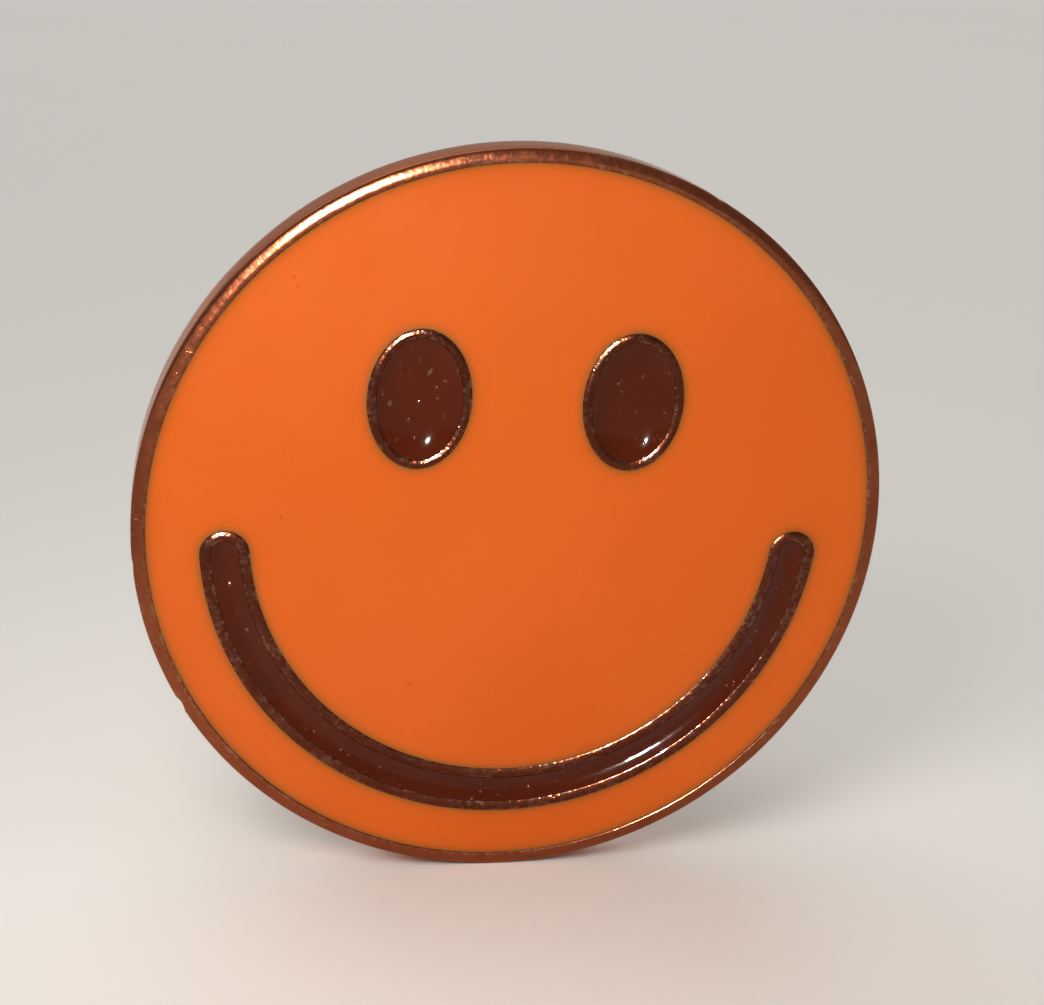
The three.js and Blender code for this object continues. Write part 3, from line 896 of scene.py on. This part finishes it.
def solder_ring(side, side_name):
    """Solder that ran out round the foot of a post and froze with an uneven edge."""
    shell = Shell()
    inside = FOOT_RADIUS + FIT_GAP
    profile = [(inside, FIT_GAP, 0.0), (SOLDER_RADIUS, FIT_GAP, 0.0)]
    for step in range(1, 9):
        share = step / 8
        radius = SOLDER_RADIUS + (inside - SOLDER_RADIUS) * share
        profile.append((radius, FIT_GAP + 0.05 + (FOOT_HEIGHT - 0.09) * share ** 1.7, 0.0))

    def wobble(angle, radius, height):
        share = (radius - inside) / (SOLDER_RADIUS - inside)
        run = noise.noise(Vector((math.cos(angle) * 1.3, math.sin(angle) * 1.3, side * 5.0)))
        return radius + SOLDER_RUN * run * share, height

    rings = shell.turned(profile, 96, wobble)
    shell.join(rings[-1], rings[0])
    name, node = f"{side_name}_solder_ring", f"{side_name}_post_solder"
    add_piece(shell, name, place_post(side), SOLDER, "badge", [node])


# ------ clutches

def stamped_base(side, side_name):
    """The clutch's base: a ring with a rolled edge, a stiffening bead, a funnel and a flared collar."""
    shell = Shell()
    roll = BASE_RADIUS - EDGE_ROLL
    inner_wall = roll - EDGE_ROLL
    bead = [
        (BEAD_RADIUS + BEAD_HALF_WIDTH * step / 6, BEAD_HEIGHT * math.cos(math.pi / 2 * step / 6) ** 2)
        for step in range(-6, 7)
    ]
    flare = (COLLAR_HEIGHT - FLARE_UNDERSIDE) / 2
    flare_edge = arc(FLARE_RADIUS - flare, FLARE_UNDERSIDE + flare, flare, -math.pi / 2, math.pi / 2, 10)
    profile = [(BORE_RADIUS, 0.27, 0.3), (FUNNEL_RADIUS - 0.1, 0.03, 0.6), (FUNNEL_RADIUS + 0.1, 0, 0.3)]
    profile += marked(bead, 0.0)
    profile += marked(arc(roll, EDGE_ROLL, EDGE_ROLL, -math.pi / 2, 0, 6), 0.9)
    profile += marked(arc(roll, EDGE_HEIGHT - EDGE_ROLL, EDGE_ROLL, 0, math.pi, 12), 0.9)
    profile += [(inner_wall, BASE_SHEET + 0.08, 0.0), (inner_wall - 0.08, BASE_SHEET, 0.0)]
    profile += [(radius, BASE_SHEET + height, 0.2) for radius, height in reversed(bead)]
    profile += [(COLLAR_RADIUS + 0.05, BASE_SHEET, 0.0), (COLLAR_RADIUS, BASE_SHEET + 0.05, 0.0)]
    profile += [(COLLAR_RADIUS, FLARE_UNDERSIDE - 0.04, 0.0), (COLLAR_RADIUS + 0.06, FLARE_UNDERSIDE, 0.0)]
    profile += marked(flare_edge, 1.0)
    profile += [(BORE_RADIUS + 0.12, COLLAR_HEIGHT - 0.02, 0.6), (BORE_RADIUS, COLLAR_HEIGHT - 0.14, 0.3)]
    rings = shell.turned(profile, 192)
    shell.join(rings[-1], rings[0])
    add_piece(
        shell, f"{side_name}_stamped_base", place_clutch(side), BRASS,
        f"{side_name}_clutch", [f"{side_name}_clutch_base"],
    )


class Bend:
    """The line along the middle of a bent strip: straight runs and round bends, measured along it."""

    def __init__(self, level):
        self.loop_radius = (level - BRIDGE_LEVEL) / 2
        self.loop_start = LOOP_X
        self.loop_end = self.loop_start + math.pi * self.loop_radius
        self.middle = self.loop_end + LOOP_X
        self.ear_start = self.middle + EAR_BEND_X
        self.ear_straight = self.ear_start + EAR_BEND_RADIUS * EAR_ANGLE
        rise = EAR_BEND_RADIUS * (1 - math.cos(EAR_ANGLE))
        self.end = self.ear_straight + (EAR_TOP - level - rise) / math.sin(EAR_ANGLE)
        self.level = level

    def at(self, along, off):
        """Where a point lies, as (x, height). off is how far it is off the middle of the sheet."""
        if along < self.loop_start:
            return -along, BRIDGE_LEVEL - off
        if along < self.loop_end:
            turn = (along - self.loop_start) / self.loop_radius
            reach = self.loop_radius + off
            centre = BRIDGE_LEVEL + self.loop_radius
            return -LOOP_X - reach * math.sin(turn), centre - reach * math.cos(turn)
        if along < self.ear_start:
            return along - self.middle, self.level + off
        turn = min(EAR_ANGLE, (along - self.ear_start) / EAR_BEND_RADIUS)
        reach = EAR_BEND_RADIUS - off
        x = EAR_BEND_X + reach * math.sin(turn)
        height = self.level + EAR_BEND_RADIUS - reach * math.cos(turn)
        run = max(0.0, along - self.ear_straight)
        return x + run * math.cos(EAR_ANGLE), height + run * math.sin(EAR_ANGLE)

    def spot(self, along, across, off):
        """The same in three dimensions, with the rib in the ear."""
        rib_along = (along - (self.ear_straight + self.end) / 2 + 0.1) / RIB_HALF_LENGTH
        rib = max(0.0, 1 - rib_along ** 2 - (across / RIB_HALF_WIDTH) ** 2)
        x, height = self.at(along, off - RIB_HEIGHT * rib * rib * (3 - 2 * rib))
        return x, across, height


def smooth_step(value, low, high):
    """0 up to low, 1 from high on, and a smooth rise between them."""
    share = max(0.0, min(1.0, (value - low) / (high - low)))
    return share * share * (3 - 2 * share)


def inset_outline(outline, inset):
    """Moves a closed outline inwards, to the left of its direction. Points on the cut end stay on it."""
    moved = []
    for here, (x, y) in enumerate(outline):
        before, after = outline[here - 1], outline[(here + 1) % len(outline)]
        along = Vector((after[0] - before[0], after[1] - before[1])).normalized()
        new_x = x if x < 1e-6 else x - inset * along.y
        moved.append((new_x, y + inset * along.x))
    return moved


def inside_outlines(outlines, x, y):
    """Is a point inside the first outline and outside the others?"""
    crossings = 0
    for outline in outlines:
        for (x1, y1), (x2, y2) in zip(outline, outline[1:] + outline[:1]):
            if (y1 > y) != (y2 > y) and x < x1 + (y - y1) * (x2 - x1) / (y2 - y1):
                crossings += 1
    return crossings % 2 == 1


def grid_in_pattern(bend, outlines, half_width):
    """Grid points in a flat pattern, clear of its outlines."""
    clear = [inset_outline(outline, SHEET_ROUNDING + EDGE_SPACE * SHEET_SPACING) for outline in outlines]
    rows = int(2 * half_width / SHEET_SPACING)
    points = []
    for column in range(1, int(bend.end / SHEET_SPACING)):
        along = column * SHEET_SPACING
        for row in range(rows + 1):
            across = -half_width + 2 * half_width * row / rows
            if inside_outlines(clear, along, across):
                points.append(Vector((along, across)))
    return points


def bent_sheet(bend, outlines, half_width):
    """A bent sheet with rounded edges, from its flat pattern of (along, across) outlines."""
    shell = Shell()
    flat = [inset_outline(outline, SHEET_ROUNDING) for outline in outlines]
    points = [Vector(point) for outline in flat for point in outline]
    points += grid_in_pattern(bend, outlines, half_width)
    found, _, triangles, origins, _, _ = delaunay_2d_cdt(points, loop_edges(flat), [], 0, MERGE_DISTANCE)
    kept = []
    for triangle in triangles:
        x = sum(found[corner].x for corner in triangle) / 3
        y = sum(found[corner].y for corner in triangle) / 3
        if inside_outlines(flat, x, y):
            kept.append(triangle)

    skins = []
    for face_side in (1, -1):
        skin = shell.ring([bend.spot(place.x, place.y, face_side * SHEET / 2) for place in found])
        skins.append(skin)
        for triangle in kept:
            shell.faces.append(tuple(skin[corner] for corner in triangle))

    found_of = {source: index for index, sources in enumerate(origins) for source in sources}
    first = 0
    for outline in outlines:
        count = len(outline)
        edge = [found_of[first + here] for here in range(count)]
        rings = [[skins[0][index] for index in edge]]
        for step in range(1, 8):
            turn = math.pi / 2 - math.pi * step / 8
            inset = SHEET_ROUNDING * (1 - math.cos(turn))
            straight = SHEET / 2 - SHEET_ROUNDING
            off = math.copysign(straight, turn) + SHEET_ROUNDING * math.sin(turn) if turn else 0.0
            ring = [bend.spot(x, y, off) for x, y in inset_outline(outline, inset)]
            rings.append(shell.ring(ring, 1.0))
        rings.append([skins[1][index] for index in edge])
        for one, other in zip(rings, rings[1:]):
            shell.join(one, other)
        first += count
    return without_loose_points(shell)


def without_loose_points(shell):
    """Leaves out the points that no face uses."""
    used = {corner for face in shell.faces for corner in face}
    tidy = Shell()
    new_index = {}
    for old in sorted(used):
        new_index[old] = tidy.ring([shell.points[old]], shell.marks[old])[0]
    tidy.faces = [tuple(new_index[corner] for corner in face) for face in shell.faces]
    return tidy


def strip_outline(bend, half_width):
    """The flat pattern of half a spring: from the cut through the collar's hole to the ear's round end."""
    corner_start = bend.end - EAR_CORNER
    widest = half_width(corner_start)
    steps = int(bend.end / SHEET_EDGE_STEP)
    places = [bend.end * step / steps for step in range(steps + 1)]
    sides = [(along, half_width(along)) for along in places if along < corner_start - 0.05]
    lower = [(along, -width) for along, width in sides]
    lower += arc(corner_start, EAR_CORNER - widest, EAR_CORNER, -math.pi / 2, 0, 14)
    upper = arc(corner_start, widest - EAR_CORNER, EAR_CORNER, 0, math.pi / 2, 14)
    upper += [(along, width) for along, width in reversed(sides)]
    cut = [(0, half_width(0) - 0.4), (0, COLLAR_HOLE + 0.3)]
    notch = arc(0, 0, COLLAR_HOLE, math.pi / 2, -math.pi / 2, 24)
    notch[0], notch[-1] = (0, COLLAR_HOLE), (0, -COLLAR_HOLE)
    return lower + upper + cut + notch + [(0, -COLLAR_HOLE - 0.3), (0, 0.4 - half_width(0))]


def tongue_strip():
    """The half of the spring that crosses the post with a narrow tongue."""
    bend = Bend(TONGUE_LEVEL)
    widens = bend.middle + POST_RADIUS + FLARE_START

    def half_width(along):
        waist = (STRIP_HALF_WIDTH - TONGUE_HALF_WIDTH) * smooth_step(along, LOOP_X - WAIST_LENGTH, LOOP_X)
        flare = (EAR_HALF_WIDTH - TONGUE_HALF_WIDTH) * smooth_step(along, widens, widens + FLARE_LENGTH)
        return STRIP_HALF_WIDTH - waist + flare

    hole_middle, hole_half_width = bend.middle + TONGUE_HOLE_SHIFT, POST_RADIUS + TONGUE_HOLE_PLAY
    hole = [
        (hole_middle + TONGUE_HOLE_HALF_LENGTH * x, hole_half_width * y)
        for x, y in reversed(circle_outline(1, 56))
    ]
    return bend, bent_sheet(bend, [strip_outline(bend, half_width), hole], EAR_HALF_WIDTH)


def fork_strip():
    """The half of the spring whose two rails pass each side of the tongue."""
    bend = Bend(FORK_LEVEL)
    corner, level = WINDOW_CORNER, WINDOW_HALF_WIDTH - WINDOW_CORNER
    near, far = bend.middle - WINDOW_NEAR + corner, bend.middle + WINDOW_FAR - corner
    window = arc(far, level, corner, 0, math.pi / 2, 8)
    window += line(far, near, WINDOW_HALF_WIDTH, 34)
    window += arc(near, level, corner, math.pi / 2, math.pi, 8)
    window += arc(near, -level, corner, math.pi, 1.5 * math.pi, 8)
    window += line(near, far, -WINDOW_HALF_WIDTH, 34)
    window += arc(far, -level, corner, 1.5 * math.pi, 2 * math.pi, 8)
    window.reverse()
    outline = strip_outline(bend, lambda along: STRIP_HALF_WIDTH)
    return bend, bent_sheet(bend, [outline, window], STRIP_HALF_WIDTH)


def spring_half(side, side_name, which, strip, mirror):
    """Puts half a spring in place. Its loop lies between the strip's bridge and its wing."""
    bend, shell = strip
    place = place_clutch(side)

    def turned(x, y, height):
        return place(mirror * x, mirror * y, height)

    name, wing = f"{side_name}_{which}_strip", f"{side_name}_{which}"
    replaced = [f"{side_name}_clutch_{which}_wing"]
    if which == "tongue":
        replaced.append(f"{side_name}_clutch_bridge")
    piece = add_piece(shell, name, turned, BRASS, None, replaced)
    low = place(0, 0, BRIDGE_LEVEL + SHEET / 2)
    high = place(0, 0, bend.level - SHEET / 2)
    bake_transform(piece)


tongue, fork = tongue_strip(), fork_strip()
for side, side_name in ((-1, "left"), (1, "right")):
    pointed_post(side, side_name)
    solder_ring(side, side_name)
    stamped_base(side, side_name)
    spring_half(side, side_name, "tongue", tongue, 1)
    spring_half(side, side_name, "fork", fork, -1)


# ------ floor and lights

def add_floor():
    """A round floor just below the plate. Unlike the pieces it is drawn in metres."""
    shell = Shell()
    rings = shell.turned([(radius, 0, 0) for radius in (0.02, 0.2, 1, 4)], 96)
    shell.close(rings[0], (0, 0, 0))
    mesh = bpy.data.meshes.new("floor")
    mesh.from_pydata(shell.points, [], shell.faces)
    mesh.materials.append(pale_floor())
    floor = add_object("floor", mesh)
    floor.location.z = cad_low.z - 0.02 * MM


def aim_from(place):
    """The turn of a light at this place that points at the middle of the badge."""
    return (-Vector(place)).to_track_quat("-Z", "Y").to_euler()


def add_light(name, place, size, watts, tint):
    """A round light that points at the badge."""
    data = bpy.data.lights.new(name, "AREA")
    data.shape = "DISK"
    data.size = size * MM
    data.energy = watts
    data.color = tint
    light = add_object(name, data)
    light.location = Vector(place) * MM
    light.rotation_euler = aim_from(place)
    return light


def from_face(azimuth, tilt, distance):
    """A place in front of the face: azimuth round it from its right and tilt off its normal, in degrees."""
    a, t = math.radians(azimuth), math.radians(tilt)
    out = math.sin(t) * distance
    return out * math.cos(a), -math.cos(t) * distance, out * math.sin(a)


def add_world():
    """A pale studio: bright above and behind the pin, dimmer in front of it."""
    front_strength, back_strength, spread = 0.25, 0.42, 0.6
    world = bpy.data.worlds.new("studio")
    world.use_nodes = True
    nodes, links = world.node_tree.nodes, world.node_tree.links
    background = nodes["Background"]
    background.inputs["Color"].default_value = (1.0, 0.97, 0.94, 1.0)
    lean = nodes.new("ShaderNodeVectorMath")
    lean.operation = "DOT_PRODUCT"
    lean.inputs[1].default_value = (0, 0.6, 0.8)
    links.new(nodes.new("ShaderNodeTexCoord").outputs["Generated"], lean.inputs[0])
    level = nodes.new("ShaderNodeMapRange")
    level.interpolation_type = "SMOOTHSTEP"
    for socket, value in zip((1, 2, 3, 4), (-spread, spread, front_strength, back_strength)):
        level.inputs[socket].default_value = value
    links.new(lean.outputs["Value"], level.inputs[0])
    links.new(level.outputs[0], background.inputs["Strength"])
    bpy.context.scene.world = world


def add_sun(name, place, angle, strength):
    """A soft light from so far away that it is as strong everywhere. place gives its direction."""
    data = bpy.data.lights.new(name, "SUN")
    data.angle = math.radians(angle)
    data.energy = strength
    add_object(name, data).rotation_euler = aim_from(place)


def add_lights():
    """A far small light makes the glints, and a near soft one lights the colours, most at the upper left.
    A third comes from above and behind, for the floor and the fastenings."""
    place = from_face(azimuth=124, tilt=7, distance=350)
    glint = add_light("glint", place, size=12, watts=3.2, tint=(1.0, 0.98, 0.96))
    glint.visible_diffuse = False
    place = from_face(azimuth=130, tilt=50, distance=50)
    near = add_light("near", place, size=30, watts=0.0046, tint=(1.0, 0.97, 0.92))
    near.data.spread = math.radians(90)
    near.visible_glossy = False
    add_sun("back", (-20, 60, 80), angle=70, strength=1.1)


add_world()
add_floor()
add_lights()
bpy.context.scene.view_settings.view_transform = "Standard"
